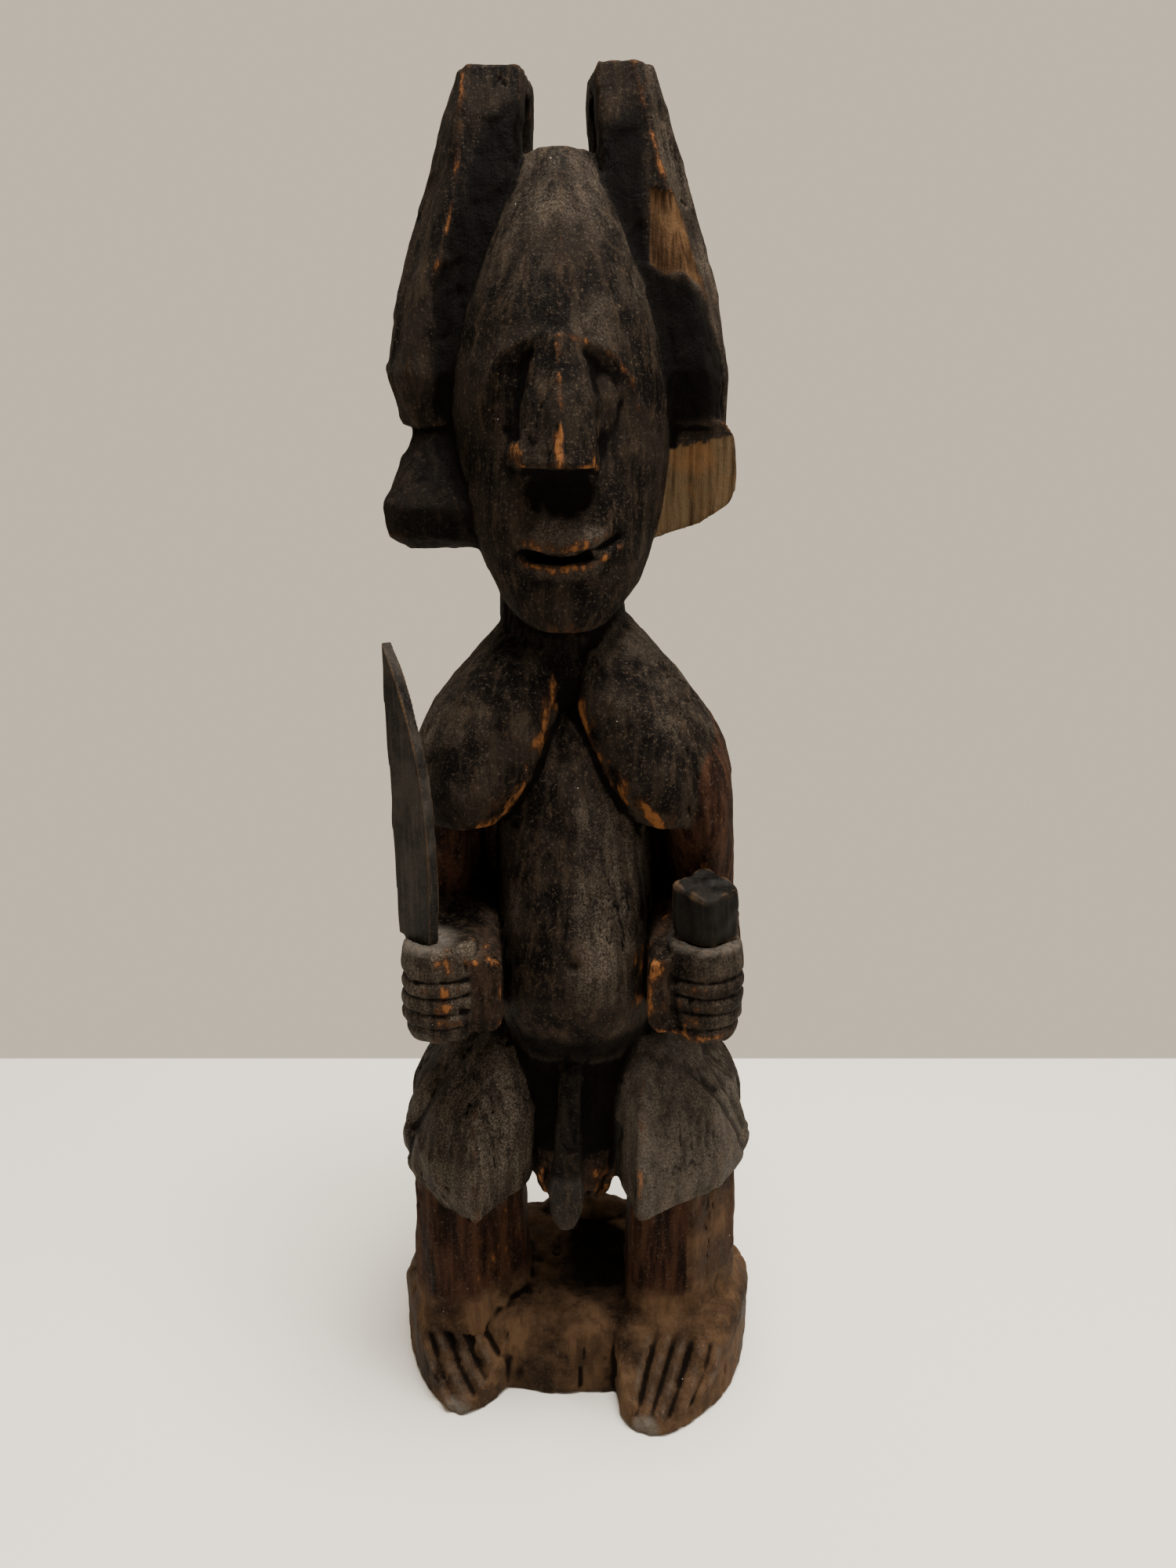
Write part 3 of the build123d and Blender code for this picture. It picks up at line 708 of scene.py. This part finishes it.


# Black of soot and of painted shade
SOOT_AND_SHADE = (0.0018, 0.0014, 0.0013, 1)
CHAR = ((0.0025, 0.002, 0.0018, 1), (0.015, 0.0115, 0.009, 1))
CHAR_STREAK = (0.03, 0.022, 0.015, 1)
HANDLED = (0.036, 0.024, 0.0155, 1)
RUSSET = ((0.007, 0.003, 0.0022, 1), (0.045, 0.019, 0.0105, 1))
SOIL = ((0.01, 0.0055, 0.0035, 1), (0.095, 0.055, 0.03, 1))
SOIL_STREAK = (0.025, 0.015, 0.009, 1)
# Pale dust, also used for painted light
DUST_AND_LIGHT = (0.12, 0.098, 0.076, 1)
GRIT = (0.085, 0.063, 0.045, 1)
WORN_BROWN = (0.04, 0.018, 0.009, 1)
WORN_ORANGE = (0.17, 0.07, 0.024, 1)
ASH = (0.1, 0.088, 0.075, 1)
SPECK = (0.35, 0.32, 0.28, 1)
SCARRED = ((0.018, 0.0085, 0.004, 1), (0.085, 0.047, 0.022, 1))
SPLIT = ((0.02, 0.011, 0.005, 1), (0.095, 0.064, 0.035, 1))
SPLIT_ORANGE = (0.16, 0.075, 0.028, 1)
GREY_GRAIN = (0.045, 0.036, 0.028, 1)
GREY_DUST = (0.08, 0.068, 0.055, 1)
BROWN_EDGE = (0.075, 0.045, 0.024, 1)


def aged_colour(s, mottle, streak):
    """Blackened wood, red-brown where the skin's mask says so and earthy low down."""
    patch = s.math("SUBTRACT", mottle, 0.5)
    handled = s.ramp(s.noise(210, 6, 0.78, s.stretched(1, 1, 0.4)), 0.51, 0.63, 0, 0.6)
    char = s.blend(s.ramp(mottle, 0.4, 0.62), *CHAR)
    char = s.blend(s.ramp(streak, 0.48, 0.72, 0, 0.6), char, CHAR_STREAK)
    char = s.blend(handled, char, HANDLED)
    russet = s.blend(s.ramp(streak, 0.35, 0.65), *RUSSET)
    reddened = s.math("ADD", s.mask("red"), patch)
    colour = s.blend(s.ramp(reddened, 0.3, 1.0, 0, 0.85), char, russet)
    soil = s.blend(s.ramp(mottle, 0.32, 0.64), *SOIL)
    soil = s.blend(s.ramp(streak, 0.4, 0.7, 0, 0.6), soil, SOIL_STREAK)
    return s.blend(s.ramp(s.math("ADD", s.mask("earth"), patch), 0.25, 0.85), colour, soil)


def dusted_and_lit(s, colour, mottle, streak, fine):
    """Dust caught in the grain, with painted light where the mask says so, and brown grit."""
    patch = s.math("SUBTRACT", mottle, 0.5)
    veil = s.math("MULTIPLY", s.ramp(fine, 0.42, 0.62, 0.1, 1), s.ramp(streak, 0.36, 0.58, 0.3, 1))
    dust_and_light_amount = s.math("MULTIPLY", s.ramp(s.math("ADD", s.mask("dust"), patch), 0.1, 1.1), veil)
    # Dust and painted light, caught in the grain
    colour = s.blend(s.math("MULTIPLY", dust_and_light_amount, 0.75), colour, DUST_AND_LIGHT)
    grit = s.ramp(s.noise(950, 3, 0.8), 0.55, 0.68, 0, 0.55)
    return s.blend(grit, colour, GRIT)


def handled_sooted_and_shaded(s, colour):
    """Orange wood at rubbed edges, soot and painted shade in the hollows, pale ash and a few white
    specks.
    """
    breakup = s.math("SUBTRACT", s.noise(330, 6, 0.72, s.stretched(1, 1, 0.45)), 0.5)
    rubbed = s.math("ADD", s.mask("wear"), s.math("MULTIPLY", breakup, 2.6))
    colour = s.blend(s.ramp(rubbed, 0.45, 0.85, 0, 0.6), colour, WORN_BROWN)
    colour = s.blend(s.ramp(rubbed, 0.8, 1.2, 0, 0.9), colour, WORN_ORANGE)
    # Soot and painted shade in the hollows
    colour = s.blend(s.ramp(s.mask("crease"), 0.08, 0.8, 0, 0.93), colour, SOOT_AND_SHADE)
    ashen = s.math("MULTIPLY", s.mask("ash"), s.ramp(s.noise(500, 4, 0.7), 0.3, 0.6, 0.3, 1))
    colour = s.blend(ashen, colour, ASH)
    specks = s.ramp(s.noise(560, 1, 0.4), 0.83, 0.85)
    return s.blend(s.math("MULTIPLY", specks, 0.8), colour, SPECK)


def laid_bare(s, colour, mottle):
    """Unstained wood where the crest is scarred and where the left lug has split away."""
    raw = s.noise(520, 4, 0.65, s.stretched(1, 1, 0.04))
    colour = s.blend(s.mask("scar"), colour, s.blend(s.ramp(raw, 0.35, 0.65), *SCARRED))
    split = s.blend(s.ramp(raw, 0.32, 0.62), *SPLIT)
    split = s.blend(s.ramp(mottle, 0.5, 0.75, 0, 0.5), split, SPLIT_ORANGE)
    return s.blend(s.mask("bare"), colour, split)


def blackened_wood():
    """Hand-carved wood, blackened and handled, orange at its worn edges, dusty and earthy low down,
    with painted shade in its hollows and painted light on a few faces.
    """
    s = Shading("blackened_wood")
    grain = s.noise(900, 3, 0.6, s.stretched(1, 1, 0.1))
    streak = s.noise(260, 4, 0.6, s.stretched(1, 1, 0.12))
    mottle = s.noise(55, 6, 0.65)
    fine = s.noise(1500, 4, 0.75)
    colour = aged_colour(s, mottle, streak)
    colour = dusted_and_lit(s, colour, mottle, streak, fine)
    colour = handled_sooted_and_shaded(s, colour)
    colour = laid_bare(s, colour, mottle)
    s.put(s.surface.inputs["Base Color"], colour)
    s.put(s.surface.inputs["Roughness"], s.ramp(mottle, 0.3, 0.7, 0.5, 0.78))
    s.surface.inputs["Specular IOR Level"].default_value = 0.03
    relief = s.bump(grain, 0.7, 0.5)
    relief = s.bump(fine, 0.8, 0.5, relief)
    relief = s.bump(s.noise(430, 4, 0.75), 0.6, 0.8, relief)
    relief = s.bump(streak, 0.45, 1.0, relief)
    s.put(s.surface.inputs["Normal"], s.bump(mottle, 0.35, 1.6, relief))
    return s.material


def rubbed_wood(name, shade):
    """Smooth greyish black wood, browner along its worn edges; a lower shade is blacker."""
    s = Shading(name)
    grain = s.noise(800, 3, 0.6, s.stretched(1, 1, 0.06))
    cloudy = s.noise(70, 5, 0.65)
    fine = s.noise(1400, 4, 0.7)
    dark = (0.006 * shade, 0.0052 * shade, 0.0048 * shade, 1)
    light = (0.03 * shade, 0.026 * shade, 0.022 * shade, 1)
    colour = s.blend(s.ramp(cloudy, 0.38, 0.64), dark, light)
    colour = s.blend(s.ramp(grain, 0.45, 0.75, 0, 0.5 * shade), colour, GREY_GRAIN)
    colour = s.blend(s.ramp(fine, 0.5, 0.7, 0, 0.3 * shade), colour, GREY_DUST)
    colour = s.blend(s.ramp(s.mask("wear"), 0.15, 0.8, 0, 0.75), colour, BROWN_EDGE)
    s.put(s.surface.inputs["Base Color"], colour)
    s.put(s.surface.inputs["Roughness"], s.ramp(cloudy, 0.3, 0.7, 0.5, 0.72))
    s.surface.inputs["Specular IOR Level"].default_value = 0.06
    s.put(s.surface.inputs["Normal"], s.bump(cloudy, 0.3, 1.0, s.bump(grain, 0.5, 0.35)))
    return s.material


def plain(name, colour, roughness):
    """An even material for the surroundings."""
    s = Shading(name)
    s.surface.inputs["Base Color"].default_value = colour
    s.surface.inputs["Roughness"].default_value = roughness
    return s.material


SLOT_OF = {entry["node"]: entry["material_slot"] for entry in frame["record"]["subparts"]}


def dress(piece, finish, slot, *nodes):
    """Gives a piece its finish and smooth shading, hangs it from the root, and hides the CAD nodes
    that it stands for.
    """
    piece.data.materials.clear()
    piece.data.materials.append(finish)
    piece.data.shade_smooth()
    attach(piece, "root")
    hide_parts(*nodes)


# ------------------------------------------------------------------ the pieces
blackened = blackened_wood()
for node, piece in part_into_regions().items():
    close_cuts(piece)
    dress(piece, blackened, SLOT_OF[node], node)

HELD_FINISH = {
    "machete_blade": rubbed_wood("machete_wood", 0.9),
    "staff_stub": rubbed_wood("staff_wood", 0.25),
}
for node in HELD:
    piece = merged_copy([node], "carved_" + node)
    fuse(piece, HELD_PITCH)
    held = Wood(piece)
    held.smooth(3)
    held.push(ROUGHNESS_OF[node] * cloud(held.points, (5, 5, 9), 81))
    held.refresh()
    store(piece, "wear", held.relief(10) / 0.3)
    dress(piece, HELD_FINISH[node], SLOT_OF[node], node)

# ------------------------------------------------------------------ floor, light and camera
TABLE_WIDTH = 3200
TABLE_DEPTH = 1800
TABLE_BACK = 218  # how far behind the figure its back edge lies
bm = bmesh.new()
bmesh.ops.create_grid(bm, x_segments=1, y_segments=1, size=0.5)
bmesh.ops.scale(bm, vec=(TABLE_WIDTH * MM, TABLE_DEPTH * MM, 1), verts=bm.verts)
bmesh.ops.translate(bm, vec=(0, (TABLE_BACK - TABLE_DEPTH / 2) * MM, 0), verts=bm.verts)
floor_mesh = bpy.data.meshes.new("table_top")
bm.to_mesh(floor_mesh)
bm.free()
floor = bpy.data.objects.new("table_top", floor_mesh)
bpy.context.scene.collection.objects.link(floor)
floor_mesh.materials.append(plain("white_table", (0.79, 0.76, 0.705, 1), 0.75))

# The room is brighter behind the figure than in front of it, as beside a pale wall.
ROOM_COLOUR = (0.675, 0.58, 0.45, 1)
BRIGHTNESS_IN_FRONT = 0.4
BRIGHTNESS_BEHIND = 1.14
CHANGE_REACH = 0.6  # in a direction's y, which is -1 straight in front of the figure and 1 behind it
world = bpy.data.worlds.new("room")
world.use_nodes = True
background = world.node_tree.nodes["Background"]
background.inputs["Color"].default_value = ROOM_COLOUR
heading = world.node_tree.nodes.new("ShaderNodeSeparateXYZ")
brightness = world.node_tree.nodes.new("ShaderNodeMapRange")
compass = world.node_tree.nodes.new("ShaderNodeTexCoord")
world.node_tree.links.new(compass.outputs["Generated"], heading.inputs["Vector"])
world.node_tree.links.new(heading.outputs["Y"], brightness.inputs["Value"])
world.node_tree.links.new(brightness.outputs["Result"], background.inputs["Strength"])
limits = (-CHANGE_REACH, CHANGE_REACH, BRIGHTNESS_IN_FRONT, BRIGHTNESS_BEHIND)
for socket, number in zip(brightness.inputs[1:5], limits):
    socket.default_value = number
bpy.context.scene.world = world


def area_light(name, place, target, size, power, colour):
    """A round lamp at a place, aimed at a target."""
    lamp = bpy.data.lights.new(name, "AREA")
    lamp.shape = "DISK"
    lamp.size = size * MM
    lamp.energy = power
    lamp.color = colour
    holder = bpy.data.objects.new(name, lamp)
    holder.location = Vector(place) * MM
    holder.rotation_euler = (Vector(target) - Vector(place)).to_track_quat("-Z", "Y").to_euler()
    bpy.context.scene.collection.objects.link(holder)


area_light("ceiling", (120, -160, 1500), (0, 0, 200), 600, 52, (1, 0.95, 0.87))
area_light("window", (900, -500, 800), (0, 0, 220), 500, 5, (1, 0.97, 0.94))

EYE = Vector((4.3, -386, 329))
PITCH_DOWN = 15
lens = bpy.data.cameras.new("view")
lens.sensor_width = 36
lens.lens = 26.1
lens.clip_start = 0.01
camera = bpy.data.objects.new("view", lens)
camera.location = EYE * MM
camera.rotation_euler = (math.radians(90 - PITCH_DOWN), 0, 0)
bpy.context.scene.collection.objects.link(camera)
bpy.context.scene.camera = camera
